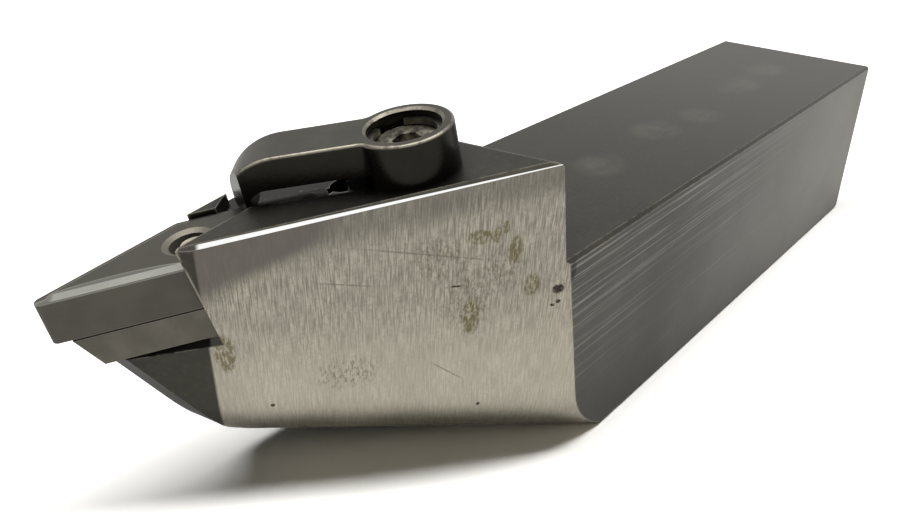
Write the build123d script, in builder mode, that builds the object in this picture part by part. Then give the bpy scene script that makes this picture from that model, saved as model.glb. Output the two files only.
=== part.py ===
from build123d import *
import os
from math import cos, radians, sin, tan

os.makedirs("parts", exist_ok=True)

# Left-hand indexable turning tool holder with a negative 35 degree insert, a shim, a lock pin
# and a bridge clamp. Millimetres and degrees. The origin is the middle of the shank's bottom
# face, +X runs along the shank to the cutting tip, +Y is the trailing side, +Z is up.

# --- Shank and cutting point -----------------------------------------------------------------
SHANK_WIDTH = 25.4
SHANK_HEIGHT = 25.4
SHANK_LENGTH = 90.6
SHANK_EDGE = 0.4            # broken long edges
SHANK_END_EDGE = 1.0        # chamfer round the rear end
HEAD_LENGTH = 36.4          # shank to the tip, 127 overall
TIP_OFFSET = 31.75          # trailing side of the shank to the tip
TIP_HEIGHT = 25.4
LEAD_ANGLE = 3.0            # main cutting edge off the shank's direction
INCLINATION = 10.0          # fall of the seat along the main edge, towards the tip
RAKE = 4.0                  # fall of the seat across the main edge

# --- Insert and shim -------------------------------------------------------------------------
POINT_ANGLE = 35.0
INSERT_CIRCLE = 9.525       # diameter of the circle inside the rhombus
INSERT_THICKNESS = 4.76
INSERT_HOLE = 3.81
INSERT_HOLE_FLARE = 0.55
NOSE_RADIUS = 0.8
RIM_DROP = 0.3              # cutting edge below the raised middle face
RIM_LAND = 0.3              # flat land along the cutting edge
RIM_SLOPE = 66.0            # chip groove wall, from upright
SHIM_THICKNESS = 3.18
SHIM_INSET = 0.25           # shim outline inside the insert's
SHIM_BORE_GAP = 0.12        # radial, round the pin's thread and collar

# --- Pocket ----------------------------------------------------------------------------------
WALL_RISE = 2.5             # head's flat top above the insert's
SEAT_GAP = 0.02             # insert to pocket walls
CORNER_RELIEF = 3.0         # bore that clears the insert's rear corner
FAR_LAND_RISE = 0.3         # low land beside the insert's far side
SEAT_BEVEL = 0.7            # bevel round the pocket floor's open edges

# --- Lock pin --------------------------------------------------------------------------------
PIN_SHIFT = 0.38            # pin axis behind the middle of the insert's hole
PIN_HEAD = 3.0
PIN_TOP_GAP = 0.45          # pin's end below the insert's top
PIN_COLLAR = 5.6
PIN_COLLAR_THICKNESS = 1.2
PIN_THREAD = 4.17
PIN_DEPTH = 8.0             # thread below the pocket floor
PIN_EDGE = 0.25
PIN_KEY = 1.5               # hexagon socket across flats
PIN_KEY_DEPTH = 1.6

# --- Head ------------------------------------------------------------------------------------
SIDE_INSET = 0.7            # head's far side behind the main cutting edge
SHOULDER_LENGTH = 8.0       # slanted far shoulder, its start behind the riser
SHOULDER_ANGLE = 35.0       # off the shank's direction
TRAILING_ANGLE = 38.7       # trailing face off the shank's direction
TRAILING_CLEARANCE = 6.8    # its undercut
TRAILING_HEIGHT = 28.2      # where it meets the shank's near side, above the riser's root
FACET_START = 33.5          # length of the trailing face up to the nose facet
FACET_ANGLE = 47.0          # nose facet under the insert
FACET_CLEARANCE = 8.2
FACET_BEVEL = 1.4           # bevel between the facet and the nose relief
UNDERSIDE_RISE = 10.0       # slope of the relieved underside
UNDERSIDE_START = 3.2       # its start behind the riser
UNDERSIDE_ROLL = 10.0       # rounding between trailing face and underside
NOSE_ANGLE = 38.0           # nose relief of shim and holder, back from upright
NOSE_BACKSET = 3.4          # its start behind the insert's sharp tip, under the insert
RISER_EDGE = 0.8            # rounding between the head's top and the riser
TOP_EDGE = 0.4              # chamfer along the trailing face's top edge

# --- Clamp -----------------------------------------------------------------------------------
CLAMP_BACK = 17.2           # clamp screw behind the insert's hole, along the main edge
CLAMP_SIDE = 13.0           # and towards the trailing side
CLAMP_HEIGHT = 4.2          # foot to the flat top
BOSS_RADIUS = 4.6
BOSS_EDGE = 0.25            # chamfer at the bore's mouth
ARM_WIDTH = 5.8
ARM_EDGE = 0.35             # rounding of the clamp's top outline
ARM_UNDERSIDE = 1.1         # bridge gap above the head
ARM_REACH = 18.0            # screw axis to the nose's end
ARM_TURN = 46.0             # direction of the arm off the main edge
NOSE_CURVE = 6.4            # length of the nose's rounded back
NOSE_LIP = 0.7              # upright end of the nose
NOSE_PAD = 2.4              # length that rests on the insert
NOSE_SKEW = 26.0            # end of the nose, off square
NOSE_HEEL = 2.6             # rounded rise from the pad to the bridge
ARM_BLEND = 1.2             # hollow blend from arm to boss
FOOT_LAND = 6.2             # radius of the land left under the boss
SWING_RADIUS = 19.8         # milled swing space round the clamp screw
SWING_ANGLE = 55.0
SWING_MARGIN = 0.5          # beside the arm
SWING_FLOOR = 0.5           # swing space floor below the insert's top

# --- Clamp screw and retaining ring ----------------------------------------------------------
SCREW_THREAD = 4.83
SCREW_RUNNING_GAP = 0.05    # radial, thread in the holder
SCREW_LENGTH = 15.0         # below the screw's head
SCREW_HEAD = 6.6
SCREW_HEAD_HEIGHT = 1.8
SCREW_KEY = 2.4
SCREW_KEY_DEPTH = 1.3
BOSS_BORE = 7.0
BOSS_FLOOR = 0.9            # web under the screw's head
BOSS_HOLE = 5.3
RING_THICKNESS = 0.55
RING_GROOVE = 7.7
RING_OUTSIDE = 7.6
RING_INSIDE = 5.9
RING_GAP_ANGLE = 50.0
RING_CLEARANCE = 0.08       # ring to groove walls, and ring to screw head
RING_GAP_TURN = -60.0       # direction of the ring's gap off the arm
SCREW_POINT = 0.6           # chamfers
SCREW_EDGE = 0.25
HOLE_TIP = 2.0              # drilled depth past a screw's end

# --- Stock -----------------------------------------------------------------------------------
stock = 60.0                # half size of the block that the head is cut from

# --- Frames worked out from the sizes --------------------------------------------------------
riser_x = SHANK_LENGTH / 2
near_y = SHANK_WIDTH / 2
far_y = -SHANK_WIDTH / 2
half_point = radians(POINT_ANGLE / 2)
long_axis = Vector(cos(half_point), -sin(half_point), 0)
short_axis = Vector(sin(half_point), cos(half_point), 0)

lead = radians(LEAD_ANGLE)
forward = Vector(cos(lead), -sin(lead), -tan(radians(INCLINATION)))
across = Vector(sin(lead), cos(lead), tan(radians(RAKE)))
nose_centre = Vector(
    riser_x + HEAD_LENGTH - NOSE_RADIUS,
    near_y - TIP_OFFSET + NOSE_RADIUS,
    TIP_HEIGHT,
)
edge_plane = Plane(origin=nose_centre, x_dir=forward, z_dir=forward.cross(across))
circle_radius = INSERT_CIRCLE / 2
nose_to_hole = (circle_radius - NOSE_RADIUS) / sin(half_point)
hole_centre = edge_plane.from_local_coords(long_axis * -nose_to_hole)

insert_top = Plane(origin=hole_centre, x_dir=edge_plane.x_dir, z_dir=edge_plane.z_dir)
stack = INSERT_THICKNESS + SHIM_THICKNESS
seat = insert_top.offset(-stack)
pin_point = long_axis * -PIN_SHIFT
pin_seat = Plane(origin=seat.from_local_coords(pin_point), x_dir=seat.x_dir, z_dir=seat.z_dir)
seat_axis = Axis(pin_seat.origin, seat.z_dir)
screw_point = Vector(-CLAMP_BACK, CLAMP_SIDE, WALL_RISE)
arm_turn = radians(ARM_TURN)
clamp_foot = Plane(
    origin=insert_top.from_local_coords(screw_point),
    x_dir=seat.x_dir * cos(arm_turn) - seat.y_dir * sin(arm_turn),
    z_dir=seat.z_dir,
)
clamp_side = Plane(
    origin=clamp_foot.origin, x_dir=clamp_foot.x_dir, z_dir=-clamp_foot.y_dir
)


def rhombus(grow=0.0):
    """Corners tip, near, rear, far of the insert's rhombus about its hole, grown outwards."""
    radius = circle_radius + grow
    tip = long_axis * (radius / sin(half_point))
    near = short_axis * (radius / cos(half_point))
    return [tip, near, -tip, -near]


def flat(points):
    """The same points as plane coordinates."""
    return [(point.X, point.Y) for point in points]


def lies_on(edge, *planes):
    """True where both ends and the middle of an edge are in all the planes."""
    points = [edge @ 0, edge @ 0.5, edge @ 1]
    return all(abs(plane.to_local_coords(point).Z) < 1e-4 for plane in planes for point in points)


def side_plane(point, angle, clearance):
    """Upright plane through a point, turned off the shank's direction and undercut."""
    turn, tilt = radians(angle), radians(clearance)
    outward = Vector(sin(turn) * cos(tilt), cos(turn) * cos(tilt), -sin(tilt))
    return Plane(origin=point, x_dir=(cos(turn), -sin(turn), 0), z_dir=outward)

# --- Holder body -----------------------------------------------------------------------------
tip_corner, near_corner, rear_corner, far_corner = rhombus()
head_top = insert_top.offset(WALL_RISE)
riser_lean = head_top.z_dir.X / head_top.z_dir.Z
riser = Plane(origin=(riser_x, 0, SHANK_HEIGHT), x_dir=(0, 1, 0), z_dir=(-1, 0, riser_lean))
trailing = side_plane(
    (riser_x + riser_lean, near_y, TRAILING_HEIGHT), TRAILING_ANGLE, TRAILING_CLEARANCE
)
facet = side_plane(
    trailing.from_local_coords((FACET_START, 0, 0)), FACET_ANGLE, FACET_CLEARANCE
)
nose_turn = half_point + lead
nose_tilt = radians(NOSE_ANGLE)
nose_front = Plane(
    origin=insert_top.offset(-INSERT_THICKNESS).from_local_coords(
        tip_corner - long_axis * NOSE_BACKSET
    ),
    x_dir=(sin(nose_turn), cos(nose_turn), 0),
    z_dir=(
        cos(nose_turn) * cos(nose_tilt),
        -sin(nose_turn) * cos(nose_tilt),
        -sin(nose_tilt),
    ),
)
underside_tilt = radians(UNDERSIDE_RISE)
underside = Plane(
    origin=(riser_x - UNDERSIDE_START, 0, 0),
    x_dir=(cos(underside_tilt), 0, sin(underside_tilt)),
    z_dir=(sin(underside_tilt), 0, -cos(underside_tilt)),
)
far_line = -circle_radius + SIDE_INSET
shoulder = side_plane((riser_x - SHOULDER_LENGTH, far_y, 0), 180 + SHOULDER_ANGLE, 0)


def pocket_outline():
    """Rhombus that keeps the insert's two rear sides and runs out past its tip."""
    tip, near, rear, far = rhombus(SEAT_GAP)
    reach = stock / (near - rear).length
    return flat(
        [rear, rear + (near - rear) * reach, rear + (tip - rear) * reach,
         rear + (far - rear) * reach]
    )


def swing_outline(margin):
    """Outline, in the clamp's frame, of what the arm sweeps from the insert outwards."""
    swing = radians(-SWING_ANGLE)
    end = Vector(cos(swing), sin(swing), 0)
    beside = Vector(sin(swing), -cos(swing), 0) * margin
    last = end * stock + beside
    return [(0, margin), (stock, margin), (stock, last.Y), (last.X, last.Y),
            (beside.X, beside.Y)]


arm_margin = ARM_WIDTH / 2 + SWING_MARGIN
shaft_hole = SCREW_THREAD / 2 + SCREW_RUNNING_GAP

with BuildPart() as holder:
    # head stock, square to the seat on its far side
    with BuildSketch(seat):
        with BuildLine():
            Polyline(
                (stock, far_line), (stock, stock), (-stock, stock), (-stock, far_line),
                close=True,
            )
        make_face()
    extrude(amount=stock, both=True)
    split(bisect_by=Plane.XZ.offset(-near_y), keep=Keep.TOP)
    split(bisect_by=Plane.XY, keep=Keep.TOP)
    split(bisect_by=head_top, keep=Keep.BOTTOM)
    split(bisect_by=shoulder, keep=Keep.BOTTOM)
    # riser from the shank's top
    with BuildSketch(Plane.XZ):
        with BuildLine():
            Polyline(
                (riser_x, SHANK_HEIGHT),
                (riser_x + riser_lean * stock, SHANK_HEIGHT + stock),
                (-stock, SHANK_HEIGHT + stock),
                (-stock, SHANK_HEIGHT),
                close=True,
            )
        make_face()
    extrude(amount=stock, both=True, mode=Mode.SUBTRACT)
    # square shank with broken edges
    with BuildSketch(Plane.YZ.offset(-SHANK_LENGTH / 2)):
        with Locations((0, SHANK_HEIGHT / 2)):
            Rectangle(SHANK_WIDTH, SHANK_HEIGHT)
    extrude(amount=SHANK_LENGTH + SHOULDER_LENGTH)
    rear_end = Plane.YZ.offset(-SHANK_LENGTH / 2)
    end_edges = [edge for edge in holder.edges() if lies_on(edge, rear_end)]
    chamfer(end_edges, SHANK_END_EDGE)
    long_edges = [
        edge for edge in holder.edges().filter_by(Axis.X)
        if any(
            lies_on(edge, level, side)
            for level in (Plane.XY, Plane.XY.offset(SHANK_HEIGHT))
            for side in (Plane.XZ.offset(-near_y), Plane.XZ.offset(-far_y))
        )
    ]
    chamfer(long_edges, SHANK_EDGE)
    for cut in (trailing, facet, nose_front, underside):
        split(bisect_by=cut, keep=Keep.BOTTOM)
    roll = [
        edge for edge in holder.edges()
        if lies_on(edge, underside) and (lies_on(edge, trailing) or lies_on(edge, facet))
    ]
    fillet(roll, radius=UNDERSIDE_ROLL)
    chamfer([edge for edge in holder.edges() if lies_on(edge, head_top, trailing)], TOP_EDGE)
    fillet([edge for edge in holder.edges() if lies_on(edge, head_top, riser)], RISER_EDGE)
    chamfer([edge for edge in holder.edges() if lies_on(edge, facet, nose_front)], FACET_BEVEL)
    # pocket for the shim and the insert, and the bore behind the insert's rear corner
    with BuildSketch(seat):
        with BuildLine():
            Polyline(*pocket_outline(), close=True)
        make_face()
    extrude(amount=stock, mode=Mode.SUBTRACT)
    with BuildSketch(seat):
        with Locations((rear_corner.X, rear_corner.Y)):
            Circle(CORNER_RELIEF / 2)
    extrude(amount=stock, mode=Mode.SUBTRACT)
    open_edges = [
        edge for edge in holder.edges()
        if lies_on(edge, seat) and any(lies_on(edge, side) for side in (facet, nose_front))
    ]
    chamfer(open_edges, SEAT_BEVEL)
    # swing space of the clamp, with a low land outside it
    for floor, radius in ((-SWING_FLOOR, SWING_RADIUS), (FAR_LAND_RISE, stock)):
        with BuildSketch(clamp_foot.offset(floor - WALL_RISE)):
            Circle(radius)
            with BuildLine():
                Polyline(*swing_outline(arm_margin), close=True)
            make_face(mode=Mode.INTERSECT)
            Circle(FOOT_LAND, mode=Mode.SUBTRACT)
        extrude(amount=stock, mode=Mode.SUBTRACT)
    # tapped holes for the clamp screw and the lock pin
    with BuildSketch(clamp_foot):
        Circle(shaft_hole)
    extrude(amount=-(SCREW_LENGTH - BOSS_FLOOR + HOLE_TIP), mode=Mode.SUBTRACT)
    with BuildSketch(pin_seat):
        Circle(PIN_THREAD / 2 + SCREW_RUNNING_GAP)
    extrude(amount=-(PIN_DEPTH + HOLE_TIP), mode=Mode.SUBTRACT)

holder.part.label = "holder_body"
export_step(holder.part, "parts/holder_body.step")

# --- Shim ------------------------------------------------------------------------------------
shim_top = seat.offset(SHIM_THICKNESS)
pin_shim_top = pin_seat.offset(SHIM_THICKNESS)
pin_insert_top = pin_shim_top.offset(INSERT_THICKNESS)

with BuildPart() as shim:
    with BuildSketch(seat):
        with BuildLine():
            Polyline(*flat(rhombus(-SHIM_INSET)), close=True)
        make_face()
        fillet(vertices(), NOSE_RADIUS)
    extrude(amount=SHIM_THICKNESS)
    split(bisect_by=nose_front, keep=Keep.BOTTOM)
    with BuildSketch(pin_seat):
        Circle(PIN_THREAD / 2 + SHIM_BORE_GAP)
    extrude(amount=SHIM_THICKNESS, mode=Mode.SUBTRACT)
    with BuildSketch(pin_shim_top):
        Circle(PIN_COLLAR / 2 + SHIM_BORE_GAP)
    extrude(amount=-PIN_COLLAR_THICKNESS, mode=Mode.SUBTRACT)

shim.part.label = "shim"
export_step(shim.part, "parts/shim.step")

# --- Insert ----------------------------------------------------------------------------------
insert_middle = insert_top.offset(-INSERT_THICKNESS / 2)
rim_height = INSERT_THICKNESS / 2 - RIM_DROP

with BuildPart() as insert:
    with BuildSketch(insert_middle):
        with BuildLine():
            Polyline(*flat(rhombus()), close=True)
        make_face()
        fillet(vertices(), NOSE_RADIUS)
    extrude(amount=rim_height, both=True)
    # raised middle faces, sloping up from the land along the cutting edges
    for side in (1, -1):
        with BuildSketch(insert_middle.offset(side * rim_height)):
            with BuildLine():
                Polyline(*flat(rhombus(-RIM_LAND)), close=True)
            make_face()
            fillet(vertices(), NOSE_RADIUS)
        extrude(amount=side * RIM_DROP, taper=RIM_SLOPE)
    with BuildSketch(insert_middle):
        Circle(INSERT_HOLE / 2)
    extrude(amount=INSERT_THICKNESS, both=True, mode=Mode.SUBTRACT)
    mouths = insert.edges().filter_by(GeomType.CIRCLE).filter_by(
        lambda edge: abs(edge.radius - INSERT_HOLE / 2) < 1e-6
    )
    chamfer(mouths, INSERT_HOLE_FLARE, INSERT_HOLE_FLARE / 2)

insert.part.label = "insert"
export_step(insert.part, "parts/insert.step")

# --- Lock pin --------------------------------------------------------------------------------
collar_floor = pin_shim_top.offset(-PIN_COLLAR_THICKNESS)

with BuildPart() as lock_pin:
    with BuildSketch(pin_seat.offset(-PIN_DEPTH)):
        Circle(PIN_THREAD / 2)
    extrude(amount=PIN_DEPTH + SHIM_THICKNESS - PIN_COLLAR_THICKNESS)
    with BuildSketch(collar_floor):
        Circle(PIN_COLLAR / 2)
    extrude(amount=PIN_COLLAR_THICKNESS)
    with BuildSketch(pin_shim_top):
        Circle(PIN_HEAD / 2)
    extrude(amount=INSERT_THICKNESS - PIN_TOP_GAP)
    chamfer(lock_pin.edges().sort_by(seat_axis)[-1], PIN_EDGE)
    with BuildSketch(pin_insert_top.offset(-PIN_TOP_GAP)):
        RegularPolygon(PIN_KEY / 2, 6, major_radius=False)
    extrude(amount=-PIN_KEY_DEPTH, mode=Mode.SUBTRACT)

lock_pin.part.label = "lock_pin"
export_step(lock_pin.part, "parts/lock_pin.step")

# --- Clamp -----------------------------------------------------------------------------------
pad_level = -WALL_RISE
groove_floor = BOSS_FLOOR + SCREW_HEAD_HEIGHT
pad_end = ARM_REACH - NOSE_PAD
nose_end = Plane(
    origin=clamp_foot.from_local_coords((ARM_REACH, -ARM_WIDTH / 2, 0)),
    x_dir=clamp_foot.y_dir,
    z_dir=clamp_foot.x_dir * cos(radians(NOSE_SKEW)) + clamp_foot.y_dir * sin(radians(NOSE_SKEW)),
)


def ring_gap_outline():
    """Wedge that opens the retaining ring."""
    half, turn = radians(RING_GAP_ANGLE / 2), radians(RING_GAP_TURN)
    reach = RING_OUTSIDE
    return [(0, 0), (reach * cos(turn - half), reach * sin(turn - half)),
            (reach * cos(turn + half), reach * sin(turn + half))]


with BuildPart() as clamp:
    with BuildSketch(clamp_side):
        with BuildLine():
            Line((0, ARM_UNDERSIDE), (pad_end - NOSE_HEEL, ARM_UNDERSIDE))
            Spline(
                (pad_end - NOSE_HEEL, ARM_UNDERSIDE), (pad_end, pad_level),
                tangents=((1, 0), (0.35, -1)),
            )
            Line((pad_end, pad_level), (ARM_REACH, pad_level))
            Line((ARM_REACH, pad_level), (ARM_REACH, pad_level + NOSE_LIP))
            EllipticalCenterArc(
                (ARM_REACH - NOSE_CURVE, pad_level + NOSE_LIP),
                NOSE_CURVE, CLAMP_HEIGHT - pad_level - NOSE_LIP, start_angle=0, arc_size=90,
            )
            Line((ARM_REACH - NOSE_CURVE, CLAMP_HEIGHT), (0, CLAMP_HEIGHT))
            Line((0, CLAMP_HEIGHT), (0, ARM_UNDERSIDE))
        make_face()
    extrude(amount=ARM_WIDTH / 2, both=True)
    split(bisect_by=nose_end, keep=Keep.BOTTOM)
    with BuildSketch(clamp_foot):
        Circle(BOSS_RADIUS)
    extrude(amount=CLAMP_HEIGHT)
    corners = [
        edge for edge in clamp.edges().filter_by(seat_axis)
        if abs(clamp_foot.to_local_coords(edge @ 0.5).X) < BOSS_RADIUS
        and abs(abs(clamp_foot.to_local_coords(edge @ 0.5).Y) - ARM_WIDTH / 2) < 1e-4
    ]
    fillet(corners, ARM_BLEND)
    outline = [
        edge for edge in clamp.edges()
        if lies_on(edge, clamp_foot.offset(CLAMP_HEIGHT))
        and clamp_foot.to_local_coords(edge @ 0.5).X < ARM_REACH - NOSE_CURVE - 0.1
    ]
    nose_edges = [
        edge for edge in clamp.edges().filter_by(GeomType.ELLIPSE)
        if any(lies_on(edge, clamp_side.offset(side * ARM_WIDTH / 2)) for side in (1, -1))
    ]
    fillet(outline + nose_edges, ARM_EDGE)
    # bore for the screw's head with the retaining ring's groove, and the screw's hole
    with BuildSketch(clamp_foot.offset(BOSS_FLOOR)):
        Circle(BOSS_BORE / 2)
    extrude(amount=CLAMP_HEIGHT, mode=Mode.SUBTRACT)
    with BuildSketch(clamp_foot):
        Circle(BOSS_HOLE / 2)
    extrude(amount=CLAMP_HEIGHT, mode=Mode.SUBTRACT)
    with BuildSketch(clamp_foot.offset(groove_floor)):
        Circle(RING_GROOVE / 2)
    extrude(amount=RING_THICKNESS + 2 * RING_CLEARANCE, mode=Mode.SUBTRACT)
    mouth = [
        edge for edge in clamp.edges().filter_by(GeomType.CIRCLE)
        if lies_on(edge, clamp_foot.offset(CLAMP_HEIGHT)) and edge.radius < BOSS_BORE
        and abs(edge.radius - BOSS_BORE / 2) < 1e-4
    ]
    chamfer(mouth, BOSS_EDGE)

clamp.part.label = "clamp"
export_step(clamp.part, "parts/clamp.step")

# --- Retaining ring --------------------------------------------------------------------------
with BuildPart() as retaining_ring:
    with BuildSketch(clamp_foot.offset(groove_floor + RING_CLEARANCE)):
        Circle(RING_OUTSIDE / 2)
        Circle(RING_INSIDE / 2, mode=Mode.SUBTRACT)
        with BuildLine():
            Polyline(*ring_gap_outline(), close=True)
        make_face(mode=Mode.SUBTRACT)
    extrude(amount=RING_THICKNESS)

retaining_ring.part.label = "retaining_ring"
export_step(retaining_ring.part, "parts/retaining_ring.step")

# --- Clamp screw -----------------------------------------------------------------------------
head_floor = clamp_foot.offset(BOSS_FLOOR)
head_end = clamp_foot.offset(BOSS_FLOOR + SCREW_HEAD_HEIGHT)

with BuildPart() as clamp_screw:
    with BuildSketch(head_floor):
        Circle(SCREW_THREAD / 2)
    extrude(amount=-SCREW_LENGTH)
    chamfer(clamp_screw.edges().sort_by(seat_axis)[0], SCREW_POINT)
    with BuildSketch(head_floor):
        Circle(SCREW_HEAD / 2)
    extrude(amount=SCREW_HEAD_HEIGHT)
    chamfer(clamp_screw.edges().sort_by(seat_axis)[-1], SCREW_EDGE)
    with BuildSketch(head_end):
        RegularPolygon(SCREW_KEY / 2, 6, major_radius=False)
    extrude(amount=-SCREW_KEY_DEPTH, mode=Mode.SUBTRACT)

clamp_screw.part.label = "clamp_screw"
export_step(clamp_screw.part, "parts/clamp_screw.step")
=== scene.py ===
# %% [markdown]
# # A turning tool holder
#
# The holder is a square steel shank with a raised head. On the head a 35 degree insert lies on a
# shim in a pocket, a lock pin goes through both, and a bridge clamp presses on the insert. The
# solids come ready made, in metres, each on its own body, so this lesson is about their finishes:
# black oxide on forged steel, a bright ground face, sintered carbide, and the wear of a shop tool.
# Each finish is worked out from where a point lies on its piece and which way it faces, so it
# needs no pictures, stays sharp from near by, and moves with its piece when a joint turns.

# %% Load the solids
from math import cos, radians, sin

import bpy
from mathutils import Matrix, Vector

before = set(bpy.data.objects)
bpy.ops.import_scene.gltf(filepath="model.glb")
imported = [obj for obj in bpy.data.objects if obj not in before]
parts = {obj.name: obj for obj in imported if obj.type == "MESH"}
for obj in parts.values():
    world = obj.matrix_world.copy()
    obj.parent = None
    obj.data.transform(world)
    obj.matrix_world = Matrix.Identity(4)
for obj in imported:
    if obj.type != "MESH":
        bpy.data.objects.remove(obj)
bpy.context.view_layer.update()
print("solids:", sorted(parts))

# %% [markdown]
# ## Camera
#
# A tool this small is pictured from close by, so its near end looks much larger than its far end.
# A camera can be aimed with a Track To constraint and an empty, but a place, a direction and a
# lens fix it fully, so they are written down here. The direction is the compass angle and the dip
# of the line of sight, with a small roll, because a hand-held camera is never quite level. The
# three axes are then the columns of the camera's matrix.

# %% Camera
camera_place = Vector((0.107715, 0.050145, 0.064229))
compass, dip, roll = radians(219.823), radians(28.028), radians(0.6)
sight = Vector((cos(compass) * cos(dip), sin(compass) * cos(dip), -sin(dip)))
level = sight.cross(Vector((0, 0, 1))).normalized()
upright = level.cross(sight)
right = level * cos(roll) + upright * sin(roll)
up = upright * cos(roll) - level * sin(roll)

camera = bpy.data.objects.new("camera", bpy.data.cameras.new("camera"))
bpy.context.scene.collection.objects.link(camera)
bpy.context.scene.camera = camera
camera.data.sensor_width = 36.0
camera.data.lens = 34.664
camera.data.clip_start = 0.005
aim = Matrix((right, up, -sight)).transposed().to_4x4()
camera.matrix_world = Matrix.Translation(camera_place) @ aim
bpy.context.scene.view_settings.view_transform = "Standard"
insert_tip = Vector((0.0817, -0.019, 0.0254))
print("camera to the tip (mm):", round((camera_place - insert_tip).length * 1000))

# %% [markdown]
# ## Writing shader maths as Python
#
# A finish is a graph of nodes, and a graph drawn by hand is hard to read back. The two classes
# below let the graph be written as expressions. A Link is an output socket, and every arithmetic
# sign on it adds one Math node. A Finish is one material: its node method adds any other node,
# and its other methods are short names for the few patterns that all the finishes share.

# %% Links
class Link:
    """An output socket that takes part in arithmetic."""

    def __init__(self, finish, socket):
        self.finish, self.socket = finish, socket

    def maths(self, operation, *values):
        settings = {"operation": operation}
        return self.finish.node("ShaderNodeMath", settings, dict(enumerate(values)))

    def __add__(self, other):
        return self.maths("ADD", self, other)

    __radd__ = __add__

    def __sub__(self, other):
        return self.maths("SUBTRACT", self, other)

    def __rsub__(self, other):
        return self.maths("SUBTRACT", other, self)

    def __mul__(self, other):
        return self.maths("MULTIPLY", self, other)

    __rmul__ = __mul__

    def __abs__(self):
        return self.maths("ABSOLUTE", self)

    def ramp(self, low, high):
        """0 at low and below, 1 at high and above, smooth between; low may be the larger."""
        if low > high:
            return 1 - self.ramp(high, low)
        settings = {"interpolation_type": "SMOOTHSTEP", "clamp": True}
        inputs = {"Value": self, "From Min": low, "From Max": high}
        return self.finish.node("ShaderNodeMapRange", settings, inputs)


print("a Link takes + - * and abs, and has a ramp")

# %% Finishes
mm = 0.001
lengthways, crossways, upwards = (1, 0, 0), (0, 1, 0), (0, 0, 1)


class Finish:
    """One material: a Principled surface, and the piece's own coordinates in metres."""

    def __init__(self, name):
        self.material = bpy.data.materials.new(name)
        self.material.use_nodes = True
        self.tree = self.material.node_tree
        self.surface = self.tree.nodes["Principled BSDF"]
        self.place = self.node("ShaderNodeTexCoord", output="Object")
        self.facing = self.node("ShaderNodeTexCoord", output="Normal")

    def node(self, kind, settings=None, inputs=None, output=0):
        made = self.tree.nodes.new(kind)
        for key, value in (settings or {}).items():
            setattr(made, key, value)
        for key, value in (inputs or {}).items():
            self.feed(made.inputs[key], value)
        return Link(self, made.outputs[output])

    def feed(self, socket, value):
        if isinstance(value, Link):
            self.tree.links.new(value.socket, socket)
        else:
            socket.default_value = value

    def vectors(self, operation, *values, output="Vector"):
        settings = {"operation": operation}
        return self.node("ShaderNodeVectorMath", settings, dict(enumerate(values)), output)

    def along(self, direction, vector=None):
        """How far a point lies along a direction, or how squarely its surface faces that way."""
        vector = vector or self.place
        return self.vectors("DOT_PRODUCT", vector, tuple(direction), output="Value")

    def stretched(self, directions, scales):
        """Coordinates along three directions, each with its own scale."""
        values = [self.along(direction) * scale for direction, scale in zip(directions, scales)]
        return self.node("ShaderNodeCombineXYZ", None, dict(enumerate(values)))

    def noise(self, vector, scale, detail, rough):
        """Cloudy values round 0.5; scale is spots a metre."""
        inputs = {"Vector": vector, "Scale": scale, "Detail": detail, "Roughness": rough}
        return self.node("ShaderNodeTexNoise", None, inputs)

    def cells(self, vector, scale):
        """Distance to the nearest of many scattered points."""
        inputs = {"Vector": vector, "Scale": scale}
        return self.node("ShaderNodeTexVoronoi", None, inputs, "Distance")

    def open_air(self, distance, samples=8, own_piece=False):
        """1 in the open, less where surfaces within a distance close a point in."""
        settings = {"samples": samples, "only_local": own_piece}
        return self.node("ShaderNodeAmbientOcclusion", settings, {"Distance": distance}, "AO")

    def mix(self, mask, colour_a, colour_b):
        """colour_a where the mask is 0, colour_b where it is 1."""
        inputs = {0: mask, 6: colour_a, 7: colour_b}
        return self.node("ShaderNodeMix", {"data_type": "RGBA"}, inputs, 2)

    def shine(self, **values):
        """Sets the surface's sockets, with _ for a space in their names."""
        for key, value in values.items():
            self.feed(self.surface.inputs[key.replace("_", " ").title()], value)

    def bump(self, height, depth):
        """Relief of a given depth in metres."""
        inputs = {"Height": height, "Distance": depth, "Strength": 1.0}
        relief = self.node("ShaderNodeBump", None, inputs, "Normal")
        self.feed(self.surface.inputs["Normal"], relief)

    def blob(self, centre, radii, directions=(lengthways, crossways, upwards)):
        """1 at a centre, fading to 0 at an ellipsoid's surface. Metres."""
        shifted = self.vectors("SUBTRACT", self.place, centre)
        squares = [self.along(d, shifted) * (1 / radius) for d, radius in zip(directions, radii)]
        total = squares[0] * squares[0] + squares[1] * squares[1] + squares[2] * squares[2]
        return total.ramp(1.0, 0.0)

    def edges(self, width):
        """1 on outside edges: there a rounded normal turns away from the true one."""
        rounded = self.node("ShaderNodeBevel", {"samples": 6}, {"Radius": width}, "Normal")
        true = self.node("ShaderNodeNewGeometry", output="True Normal")
        turned = 1 - self.vectors("DOT_PRODUCT", rounded, true, output="Value")
        outside = self.open_air(width * 1.5, samples=6, own_piece=True)
        return turned.ramp(0.02, 0.16) * outside.ramp(0.6, 0.85)


def grey(red, green=None, blue=None):
    """A colour; one number makes the slightly warm grey that all these steels share."""
    if green is None:
        red, green, blue = red * 1.08, red, red * 0.81
    return (red, green, blue, 1.0)


def wear(node, finish):
    """Gives a solid its one finish."""
    parts[node].data.materials.clear()
    parts[node].data.materials.append(finish.material)
    print(node, "wears", finish.material.name, "of", len(finish.tree.nodes), "nodes")


print("the steels' warm grey at 0.5:", grey(0.5))

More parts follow.
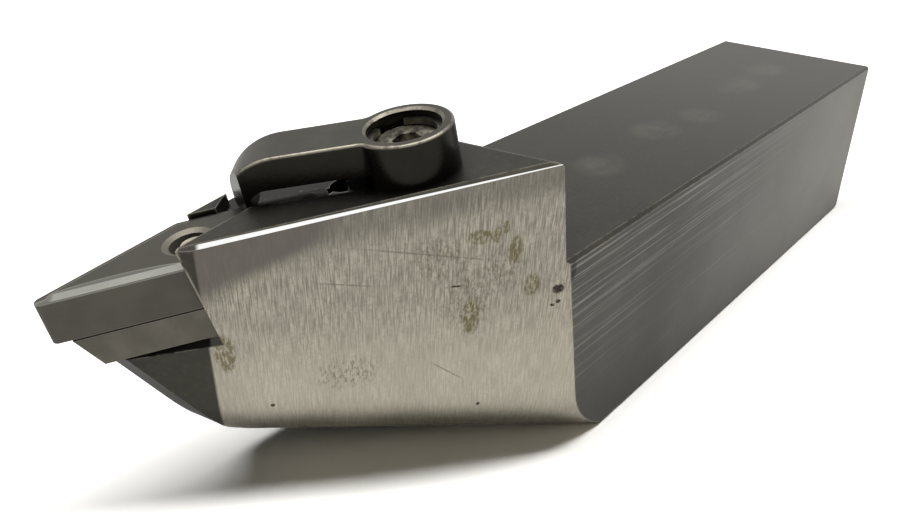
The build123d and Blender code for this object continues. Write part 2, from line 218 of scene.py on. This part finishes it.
# %% [markdown]
# ## The frame of the ground face
#
# The head's trailing face is a plane, turned 38.7 degrees off the shank and undercut by 6.8. The
# pattern on it follows the grinding, so it needs directions of its own: along the face, up the
# face and out of it. An unwrapped UV map could carry them too, but it would have to be made on
# ready solids, while a dot product needs only the three directions. The insert's seat is tilted
# as well, so the direction out of it and the middle of the insert's hole are written down here.

# %% Directions on the ground face
turn, undercut = radians(38.7), radians(6.8)
face_out = Vector((sin(turn) * cos(undercut), cos(turn) * cos(undercut), -sin(undercut)))
face_along = Vector((cos(turn), -sin(turn), 0))
face_up = face_out.cross(face_along) * -1
face_axes = (face_along, face_up, face_out)
face_point = Vector((0.045472, 0.0127, 0.0282))
seat_up = Vector((0.169405, -0.077674, 0.982481))
insert_hole = Vector((0.068795, -0.013657, 0.02785))
clamp_foot = Vector((0.053069, 0.00001, 0.03378))
print("ground face: out", [round(v, 3) for v in face_out], "up", [round(v, 3) for v in face_up])

# %% [markdown]
# ## Where the holder is ground, and where it is worn
#
# The holder is one solid with two finishes, black and ground. Its faces could be given different
# materials, but the marks on them cross from one face to the next, so one material is used and a
# mask says where each finish is. A mask is a number from 0 to 1 over the whole piece. The ground
# face is the part that lies near the face's plane, looks outwards, and stops at the nose facet.
# It rolls under at the bottom, so "near" is loose on the inside.

# %% Masks on the holder
shank_side, shank_top = 12.7 * mm, 25.4 * mm
wall_rise = 2.5 * mm
facet_start = 33.5 * mm
steel = Finish("holder_steel")
depth = steel.along(face_out) - face_point.dot(face_out)
reach = steel.along(face_along) - face_point.dot(face_along)
rise = steel.along(face_up) - face_point.dot(face_up)
facing_out = steel.along(face_out, steel.facing)
facing_up = steel.along(seat_up, steel.facing)
facing_sky = steel.along(upwards, steel.facing)
off_side = steel.along(crossways).ramp(shank_side, shank_side - 0.08 * mm)
ground = depth.ramp(-6.5 * mm, -5.5 * mm) * facing_out.ramp(0.35, 0.5) * off_side
ground = ground * reach.ramp(facet_start + 0.25 * mm, facet_start - 0.05 * mm)
ground = ground * facing_up.ramp(0.6, 0.45)
ground = ground * facing_sky.ramp(0.5, 0.3)

# the chamfer along the face's top edge, which gets wider towards the nose: bare ground steel,
# painted near white as a painted highlight
head_line = steel.along(seat_up) - (insert_hole.dot(seat_up) + wall_rise)
chamfer_highlight = facing_out.ramp(0.45, 0.6) * facing_up.ramp(0.35, 0.5)
chamfer_highlight = chamfer_highlight * head_line.ramp(-1.2 * mm, -0.8 * mm)
chamfer_highlight = chamfer_highlight * reach.ramp(facet_start, facet_start - 0.5 * mm)
chamfer_highlight = chamfer_highlight * (depth + 0.07 * mm + 0.0085 * reach).ramp(0, 0.05 * mm)
print("masks on the holder:", len(steel.tree.nodes), "nodes")

# %% Marks on the ground face
mark_depth = 2 * mm


def on_face(along, up, width, height):
    """A soft spot on the ground face, placed and sized in millimetres."""
    centre = face_point + face_along * along * mm + face_up * up * mm
    return steel.blob(centre, (width * mm, height * mm, mark_depth), face_axes)


def line_on_face(start, end, width):
    """A thin soft line on the ground face between two places in millimetres."""
    start, end = Vector((*start, 0)), Vector((*end, 0))
    middle, run = (start + end) / 2, (end - start)
    way = (face_along * run.x + face_up * run.y).normalized()
    centre = face_point + face_along * middle.x * mm + face_up * middle.y * mm
    radii = (run.length * mm / 2, width * mm, mark_depth)
    return steel.blob(centre, radii, (way, face_out.cross(way), face_out))


print("marks on the face reach", mark_depth / mm, "mm in and out of it")

# %% [markdown]
# ## Black oxide
#
# Black oxide is a thin dark skin, and the steel under it still shines through dully. Paint would
# be a dark dull surface with a clear gleam on top, so the oxide is drawn as a dark metal with
# uneven roughness instead. It is paler towards the rear end, where it is handled and clamped.

# %% Oxide
mottle = steel.noise(steel.place, 140, 5, 0.6)
speckle = steel.noise(steel.place, 1900, 2, 0.6)
rear = steel.along(lengthways).ramp(40 * mm, -42 * mm)
oxide = steel.mix(mottle.ramp(0.3, 0.7), grey(0.047), grey(0.061))
oxide = steel.mix(speckle.ramp(0.45, 0.75) * 0.35, oxide, grey(0.085))
side = abs(steel.along(crossways, steel.facing)).ramp(0.9, 0.99)
oxide = steel.mix(rear * 0.4, oxide, grey(0.19, 0.182, 0.165))
pale_side = side * steel.along(lengthways).ramp(30 * mm, -40 * mm)
oxide = steel.mix(pale_side * 0.95, oxide, grey(0.32, 0.306, 0.270))
oxide = steel.mix(side * 0.35, oxide, grey(0.125, 0.118, 0.105))
print("plain oxide:", len(steel.tree.nodes), "nodes")

# %% [markdown]
# ## Rubbed and dirty places on the oxide
#
# The tool post's screws and jaws rub long scratches into the shank's sides, mostly near the top
# and the head, and leave soft pale smudges along its top. A noise that is stretched along the
# shank gives scratches of every length at once, where single lines would all have to be placed.
# The smudges are few and differ in size, so each is a soft spot with its own place.

# %% Scratches and smudges
streak_axes = (lengthways, crossways, upwards)
streaks = steel.noise(steel.stretched(streak_axes, (28, 4600, 4600)), 1, 4, 0.65)
patchy = steel.noise(steel.place, 60, 3, 0.5).ramp(0.35, 0.65)
near_top = steel.along(upwards).ramp(6 * mm, 25 * mm)
near_top = near_top * steel.along(lengthways).ramp(-30 * mm, 30 * mm)
rubbed = 0.22 * patchy + near_top * streaks.ramp(0.50, 0.62) + 0.25 * streaks.ramp(0.60, 0.70)
rubbed = side * rubbed
oxide = steel.mix(rubbed.ramp(-0.1, 1.2) * 0.75, oxide, grey(0.36, 0.34, 0.31))
dark_spot = steel.blob((44.4 * mm, shank_side, 24 * mm), (0.8 * mm, 0.6 * mm, 1.4 * mm))
oxide = steel.mix(dark_spot * mottle.ramp(0.2, 0.6), oxide, grey(0.01))

flat_top = facing_sky.ramp(0.95, 0.99)
smudge_spots = (  # place along and across the shank, and half length (mm)
    (22.3, 2.0, 4.6),
    (6.8, 1.0, 5.0),
    (-2.8, 2.8, 4.0),
    (-20.1, 1.0, 6.5),
    (-30.8, 0.6, 5.5),
)
smudges = sum(
    steel.blob((x * mm, y * mm, shank_top), (half * mm, 3.6 * mm, 3 * mm))
    for x, y, half in smudge_spots
)
cloud = steel.noise(steel.place, 240, 5, 0.7)
smudged = smudges * flat_top * cloud.ramp(0.2, 0.75)
oxide = steel.mix(smudged * 0.6, oxide, grey(0.17, 0.165, 0.13))
print("scratches and", len(smudge_spots), "smudges:", len(steel.tree.nodes), "nodes")

# %% [markdown]
# ## Painted shade in the pocket and round the clamp, and chips
#
# The gap under the shim and the recess that the clamp swings over are painted near black as shade.
# Oil collects fine chips in the recess, where a wiping rag doesn't reach. Ambient Occlusion finds
# such sheltered places by itself, so no mask has to be drawn by hand. It can't tell how far the
# painted shade should reach in the recess, so the recess adds a mask of its own.

# %% Painted gap shadow, shade and chips
insert_thickness, shim_thickness = 4.76 * mm, 3.18 * mm
seat_line = steel.along(seat_up)
seat_line = seat_line - (insert_hole.dot(seat_up) - insert_thickness - shim_thickness)
# painted shadow: a near black band along the seat's edge under the shim, where the gap lies in
# shade
gap = seat_line.ramp(-0.85 * mm, -0.65 * mm) * seat_line.ramp(0.1 * mm, 0)
gap = gap * reach.ramp(facet_start - 0.2 * mm, facet_start + 0.1 * mm)
oxide = steel.mix(gap * 0.95, oxide, grey(0.004))

# painted shade: near black wherever Ambient Occlusion finds the head's top closed in under the
# clamp; the chips below are scattered in it
head_shade_and_dirt = steel.open_air(5 * mm).ramp(0.92, 0.45)
head_shade_and_dirt = head_shade_and_dirt * steel.along(upwards).ramp(26.2 * mm, 27.2 * mm)
from_foot = steel.vectors("SUBTRACT", steel.place, clamp_foot)
span = steel.vectors("LENGTH", from_foot, output="Value")
# the recess that the clamp swings over is painted dark as shade as well
recess = span.ramp(21 * mm, 20 * mm) * head_line.ramp(-0.1 * mm, -0.4 * mm)
recess = recess * depth.ramp(-0.5 * mm, -0.7 * mm)
in_front = steel.along(lengthways).ramp(47 * mm, 49 * mm)
head_shade_and_dirt = (head_shade_and_dirt + recess * in_front).ramp(0, 1)
oxide = steel.mix(head_shade_and_dirt * 0.85, oxide, grey(0.012))
chips = steel.cells(steel.place, 1300).ramp(0.30, 0.15) * facing_up.ramp(0.9, 0.98)
chips = chips * head_shade_and_dirt.ramp(0.1, 0.4) * mottle.ramp(0.45, 0.6)
oxide = steel.mix(chips * 0.4, oxide, grey(0.16))
print("gap and dirt:", len(steel.tree.nodes), "nodes")

# %% [markdown]
# ## Ground face
#
# The ground face has no skin: it is bright steel with a fine upright grain from the wheel, and a
# darker brown tint under its top edge. Towards its bottom it is painted lighter, a painted
# reflection of the lit sheet in front of it. An anisotropic shader could streak the gleam, but the
# grain has to be seen as lines from near by, so it is a noise that is stretched up the face.

# %% Ground face
grain = steel.noise(steel.stretched(face_axes, (7200, 420, 200)), 1, 3, 0.6)
broad = steel.noise(steel.stretched(face_axes, (260, 90, 90)), 1, 4, 0.55)
fine = steel.noise(steel.place, 2600, 3, 0.6)
bright = steel.mix(grain.ramp(0.32, 0.68), grey(0.23), grey(0.53))
bright = steel.mix(fine.ramp(0.45, 0.7) * 0.45, bright, grey(0.24, 0.22, 0.18))
# painted reflection: lighter towards the bottom of the face, where it mirrors the lit sheet in
# front
bright = steel.mix(rise.ramp(-4 * mm, -15 * mm) * 0.5, bright, grey(0.60))
bright = steel.mix(broad.ramp(0.3, 0.7) * 0.25, bright, grey(0.33, 0.30, 0.26))

# the brown tint is a wedge at the pocket's end, and a band under the top edge
wedge = (rise + 0.62 * reach).ramp(14.5 * mm, 18.5 * mm) * reach.ramp(20 * mm, 26 * mm)
band = head_line.ramp(-5.5 * mm, -1.5 * mm)
wobble = 0.75 + 0.5 * broad
tint = (wedge * 0.75 + band * 0.6 * wobble).ramp(0, 1)
bright = steel.mix(tint * 0.92, bright, grey(0.155, 0.140, 0.122))
print("bare ground face:", len(steel.tree.nodes), "nodes")

# %% [markdown]
# ## Rust, specks, pits and scratches
#
# A bare face rusts in spots of olive brown, and picks up specks, small pits with dark dirt, and a
# few scratches. A threshold on one noise would spread them evenly, but on a used tool they sit in
# patches. So each patch is a soft spot with its own place and size, and a ragged noise breaks it
# up inside. A patch is four numbers, in millimetres: along the face, up it, and its half sizes.

# %% Marks of use
ragged = steel.noise(steel.stretched(face_axes, (4200, 1500, 1000)), 1, 4, 0.7)
rust_spots = (
    (8.5, 0.75, 1.5, 1.0),
    (6.95, 0.8, 0.55, 1.1),
    (5.1, -0.9, 0.75, 1.9),
    (6.2, 1.6, 0.4, 0.9),
    (3.2, -5.2, 1.0, 1.6),
    (9.0, -8.5, 1.0, 2.6),
    (32.3, -10.1, 1.2, 2.8),
)
speck_spots = (
    (12.2, -1.3, 3.6, 3.4),
    (9.3, -6.5, 3.2, 5.0),
    (6.2, -2.8, 2.6, 3.6),
    (21.0, -14.0, 4.0, 2.6),
)
pit_spots = (
    (0.52, -6.0, 0.9, 0.8),
    (0.35, -7.5, 0.4, 0.4),
    (0.9, -7.9, 0.35, 0.3),
    (28.5, -17.2, 0.35, 0.35),
    (7.7, -20.2, 0.35, 0.35),
    (10.6, -4.6, 0.8, 0.2),
)
scratch_lines = (  # start, end and half width
    ((24.3, -2.7), (17.4, -3.9), 0.13),
    ((21.5, 0.9), (5.0, -2.4), 0.14),
    ((13.5, -13.2), (9.0, -16.8), 0.13),
)
rust, specks, pits = (
    sum(on_face(*spot) for spot in spots) for spots in (rust_spots, speck_spots, pit_spots)
)
scratches = sum(line_on_face(*line) for line in scratch_lines)
bright = steel.mix(specks * ragged.ramp(0.48, 0.62) * 0.65, bright, grey(0.130, 0.112, 0.068))
rusty = rust.ramp(0, 0.6) * ragged.ramp(0.38, 0.56)
bright = steel.mix(rusty * 0.85, bright, grey(0.170, 0.140, 0.065))
bright = steel.mix(scratches * ragged.ramp(0.3, 0.5) * 0.6, bright, grey(0.15))
pitted = (pits * (0.1 + 1.5 * fine)).ramp(0.30, 0.75)
bright = steel.mix(pitted * 0.9, bright, grey(0.020, 0.016, 0.010))
print("marks of use:", len(steel.tree.nodes), "nodes")

# %% [markdown]
# ## Putting the holder's finish together
#
# The oxide is chipped off along the edges. A Bevel node finds them: it gives the normal of a
# rounded edge, which turns away from the true one only where an edge is near. Then the masks
# choose between skin, ground face and the chamfer's painted highlight, and the same patterns make
# the relief.

# %% Holder finish
worn_edge = steel.edges(0.35 * mm)
chipped = steel.noise(steel.place, 700, 3, 0.6).ramp(0.3, 0.55)
skin = steel.mix(worn_edge * chipped * 0.8, oxide, grey(0.36))
colour = steel.mix(ground, skin, bright)
# painted highlight: the chamfer is painted near white
colour = steel.mix(chamfer_highlight, colour, grey(0.85, 0.85, 0.83))
steel.shine(
    base_color=colour,
    metallic=1.0,
    roughness=(0.36 + 0.16 * mottle - 0.05 * ground) * (1 - 0.65 * head_shade_and_dirt * (1 - ground)),
)
ground_relief = 0.35 * ground * (grain + fine)
skin_relief = (1 - ground) * (0.6 * speckle + 0.4 * side * streaks)
steel.bump(ground_relief + skin_relief, 0.02 * mm)
wear("holder_body", steel)

# %% [markdown]
# ## Carbide
#
# The insert and the shim are sintered and ground carbide: a dull grey with an extremely fine
# grain. The cutting edges are a little brighter. Along the edge that cuts, the insert's top has a
# shallow hollow with a curved rim, which is much shallower than it is wide, so its light is
# painted: a paler oval, with a painted highlight along the rim. Where the top tilts slightly, it
# gets a painted sheen. Under the clamp's arm the top is painted near black as shade.

# %% Insert
# the insert's own directions: forward towards its tip, and sideways across it
forward = Vector((cos(radians(3)), -sin(radians(3)), -0.17633)).normalized()
sideways = seat_up.cross(forward)
carbide = Finish("insert_carbide")
dust = carbide.noise(carbide.place, 5200, 2, 0.5)
clouds = carbide.noise(carbide.place, 330, 3, 0.5)
upward = carbide.along(seat_up, carbide.facing)
top = upward.ramp(0.3, 0.95)
body = carbide.mix(top, grey(0.117), grey(0.086))
body = carbide.mix(clouds.ramp(0.35, 0.7) * 0.4, body, grey(0.078))
# painted sheen: where the top tilts slightly off the seat it is painted lighter
groove_sheen = top * upward.ramp(0.999, 0.985)
body = carbide.mix(groove_sheen * 0.6, body, grey(0.24))
tip_angle = radians(35)
edge_way = sideways * sin(tip_angle) - forward * cos(tip_angle)
edge_out = forward * sin(tip_angle) + sideways * cos(tip_angle)
band_middle = insert_hole + edge_out * 4.7 * mm - edge_way * 6.3 * mm
hollow = carbide.blob(band_middle, (7.9 * mm, 1.7 * mm, 3 * mm), (edge_way, edge_out, seat_up))
# painted light on the hollow: a paler oval and a painted highlight along its rim
rim_highlight = hollow.ramp(0.0, 0.03) * hollow.ramp(0.16, 0.05)
body = carbide.mix(hollow.ramp(0.02, 0.06) * top * 0.7, body, grey(0.21, 0.21, 0.19))
body = carbide.mix(rim_highlight * top * 0.6, body, grey(0.36))
body = carbide.mix(carbide.edges(0.15 * mm) * 0.5, body, grey(0.40))
# painted shade: the top under the clamp's arm, where Ambient Occlusion finds it closed in and
# along its rear, is painted near black
under_arm_shade = carbide.open_air(5 * mm).ramp(0.75, 0.4)
rearward = sideways * sin(tip_angle / 2) - forward * cos(tip_angle / 2)
covered = (carbide.along(rearward) - insert_hole.dot(rearward)).ramp(4.6 * mm, 6.4 * mm)
under_arm_shade = (under_arm_shade + covered).ramp(0, 1)
body = carbide.mix(under_arm_shade * top * 0.95, body, grey(0.008))
carbide.shine(
    base_color=body,
    metallic=0.75 - 0.75 * under_arm_shade,
    roughness=0.46 + 0.1 * clouds + 0.4 * under_arm_shade,
)
carbide_grain = 0.006 * mm
carbide.bump(dust, carbide_grain)
wear("insert", carbide)

# %% Shim
shim_carbide = Finish("shim_carbide")
shim_dust = shim_carbide.noise(shim_carbide.place, 4300, 2, 0.5)
shim_cloud = shim_carbide.noise(shim_carbide.place, 400, 3, 0.5)
shim_body = shim_carbide.mix(shim_cloud.ramp(0.35, 0.7), grey(0.130), grey(0.165))
shim_body = shim_carbide.mix(shim_carbide.edges(0.15 * mm) * 0.4, shim_body, grey(0.3))
shim_carbide.shine(base_color=shim_body, metallic=0.75, roughness=0.5)
shim_carbide.bump(shim_dust, carbide_grain)
wear("shim", shim_carbide)

# %% [markdown]
# ## Clamp
#
# The clamp has the same black oxide on a smoother forging, its sides and closed-in places are
# painted near black as shade, and the outline of its top and the rim of its bore are worn bright
# by hands and chips. The general edge mask would also brighten the edges underneath, so the
# outline is found by facing: a surface that looks half up and half sideways lies on the rounded
# edge of the top.

# %% Clamp finish
# the arm points at the insert, at an angle to the insert's length
arm_angle = radians(46)
arm_way = forward * cos(arm_angle) - sideways * sin(arm_angle)
arm_side = seat_up.cross(arm_way)
clamp_skin = Finish("clamp_oxide")
clamp_mottle = clamp_skin.noise(clamp_skin.place, 420, 4, 0.6)
clamp_speck = clamp_skin.noise(clamp_skin.place, 2600, 2, 0.6)
clamp_colour = clamp_skin.mix(clamp_mottle.ramp(0.3, 0.7), grey(0.072), grey(0.094))
clamp_up = clamp_skin.along(seat_up, clamp_skin.facing)
# painted shade: the clamp's sides, and wherever Ambient Occlusion finds it closed in, are painted
# near black
clamp_side_shade = clamp_up.ramp(0.55, 0.1)
clamp_shade = (clamp_skin.open_air(6 * mm).ramp(0.9, 0.5) + 0.78 * clamp_side_shade).ramp(0, 1)
clamp_colour = clamp_skin.mix(clamp_shade * 0.9, clamp_colour, grey(0.012))

# the worn outline, along the arm's sides and all round the boss
from_screw = clamp_skin.vectors("SUBTRACT", clamp_skin.place, clamp_foot)
screw_off = clamp_skin.vectors("CROSS_PRODUCT", from_screw, seat_up)
screw_span = clamp_skin.vectors("LENGTH", screw_off, output="Value")
sideward = abs(clamp_skin.along(arm_side, clamp_skin.facing))
outline = (sideward.ramp(0.25, 0.5) + screw_span.ramp(5.2 * mm, 4.9 * mm)).ramp(0, 0.6)
outline = outline * clamp_up.ramp(0.3, 0.55) * clamp_up.ramp(0.98, 0.9)
chipped_line = clamp_skin.noise(clamp_skin.place, 1100, 3, 0.6).ramp(0.3, 0.55)
worn_outline = outline * (0.15 + 0.85 * chipped_line)
clamp_colour = clamp_skin.mix(worn_outline * 0.6, clamp_colour, grey(0.36))
# painted light: faces of the nose that look forward along the arm are painted lighter
nose_painted_light = clamp_skin.along(arm_way, clamp_skin.facing).ramp(0.45, 0.8)
nose_painted_light = nose_painted_light * clamp_up.ramp(0.0, 0.2)
clamp_colour = clamp_skin.mix(nose_painted_light * 0.8, clamp_colour, grey(0.26))
clamp_skin.shine(
    base_color=clamp_colour,
    metallic=1.0,
    roughness=(0.38 + 0.14 * clamp_mottle) * (1 - 0.45 * clamp_shade),
)
clamp_skin.bump(clamp_speck, 0.012 * mm)
wear("clamp", clamp_skin)

# %% [markdown]
# ## Ring, screw and lock pin
#
# The ring is blued spring steel. The screw's head and the lock pin's end are rubbed to bare steel,
# with painted shade in their sockets. The two are alike, so one function makes both finishes from
# a low and a high tone. The lock pin's end is wiped with the insert's top, so it is the brighter.

# %% Ring
ring_steel = Finish("ring_spring_steel")
ring_tone = ring_steel.noise(ring_steel.place, 900, 3, 0.6)
ring_colour = ring_steel.mix(ring_tone.ramp(0.3, 0.7), grey(0.07), grey(0.15))
ring_steel.shine(base_color=ring_colour, metallic=1.0, roughness=0.34)
wear("retaining_ring", ring_steel)

# %% Screw and lock pin
def socket_steel(name, low, high):
    """Bare worn steel, painted near black as shade wherever little light gets in."""
    worn = Finish(name)
    tone = worn.noise(worn.place, 1500, 4, 0.65)
    colour = worn.mix(tone.ramp(0.35, 0.65), grey(low), grey(high))
    # painted shade in the socket, found by Ambient Occlusion
    colour = worn.mix(worn.open_air(0.9 * mm).ramp(0.35, 0.8), grey(0.012), colour)
    worn.shine(base_color=colour, metallic=1.0, roughness=0.3 + 0.25 * tone)
    worn.bump(tone, 0.03 * mm)
    return worn


wear("clamp_screw", socket_steel("screw_worn_steel", 0.10, 0.42))
wear("lock_pin", socket_steel("pin_worn_steel", 0.55, 0.85))

# %% [markdown]
# ## Table
#
# The tool lies on a white sheet. A sheet lit to full white would also throw too much light back
# onto the steel, so its colour is raised only for rays that come straight from the camera. It lies
# a hair below the shank, so that the two surfaces don't flicker through each other.

# %% Floor
sheet_size, sheet_drop = 6.0, 0.02 * mm
bpy.ops.object.select_all(action="DESELECT")
bpy.ops.mesh.primitive_plane_add(size=sheet_size, location=(0, 0, -sheet_drop))
floor = bpy.context.object
floor.name = "table"
sheet = Finish("white_sheet")
ray = sheet.node("ShaderNodeLightPath", output="Is Camera Ray")
sheet_colour = sheet.mix(ray, grey(0.93, 0.93, 0.92), grey(1.9, 1.88, 1.82))
sheet.shine(base_color=sheet_colour, roughness=0.9)
sheet.feed(sheet.surface.inputs["Specular IOR Level"], 0.0)
floor.data.materials.append(sheet.material)
print("sheet:", sheet_size, "m wide")

# %% [markdown]
# ## Surroundings
#
# The surroundings are plain white to the eye, and bright to shiny surfaces, because steel looks
# like what it mirrors. They give hardly any light of their own, or the shadow would be washed out.
# After a bounce off the sheet they are dark to shiny surfaces as well, for the same reason.

# %% World
mirrored, own_light = 0.74, 0.02
world = bpy.data.worlds.new("surroundings")
bpy.context.scene.world = world
world.use_nodes = True
tree = world.node_tree
background = tree.nodes["Background"]
background.inputs["Color"].default_value = grey(1.0, 1.0, 1.0)
path = tree.nodes.new("ShaderNodeLightPath")


def world_maths(operation, first, second):
    """One Math node of the world's tree."""
    made = tree.nodes.new("ShaderNodeMath")
    made.operation = operation
    for socket, value in zip(made.inputs, (first, second)):
        if isinstance(value, float):
            socket.default_value = value
        else:
            tree.links.new(value, socket)
    return made.outputs[0]


bounced = world_maths("MINIMUM", path.outputs["Diffuse Depth"], 1.0)
direct = world_maths("SUBTRACT", 1.0, bounced)
shiny = world_maths("MULTIPLY", path.outputs["Is Glossy Ray"], direct)
seen = world_maths(
    "MAXIMUM", path.outputs["Is Camera Ray"], world_maths("MULTIPLY", shiny, mirrored)
)
tree.links.new(world_maths("MAXIMUM", seen, own_light), background.inputs["Strength"])
print("surroundings:", mirrored, "to shiny surfaces,", own_light, "to the rest")

# %% [markdown]
# ## Overhead light
#
# Workshop tubes hang in a row over the bench. One sun lamp with a large angle would soften the
# shadow the same way on all sides, and a row of tubes blurs it mostly along the row. So seven sun
# lamps stand in a fan, each a little softened, and share the strength of one.

# %% Overhead lamps
lamp_count, fan_step, softness = 7, 12, 10
total_strength = 2.8
overhead = Vector((0.016, 0.020, 1))
for number in range(lamp_count):
    lean = (number - (lamp_count - 1) / 2) * fan_step
    source = (overhead + face_along * sin(radians(lean))).normalized()
    lamp = bpy.data.objects.new(f"overhead_{number + 1}", bpy.data.lights.new("overhead", "SUN"))
    bpy.context.scene.collection.objects.link(lamp)
    lamp.data.energy = total_strength / lamp_count
    lamp.data.angle = radians(softness)
    lamp.rotation_mode = "QUATERNION"
    lamp.rotation_quaternion = source.to_track_quat("Z", "Y")
print("overhead lamps:", lamp_count, "of", round(lamp.data.energy, 2))
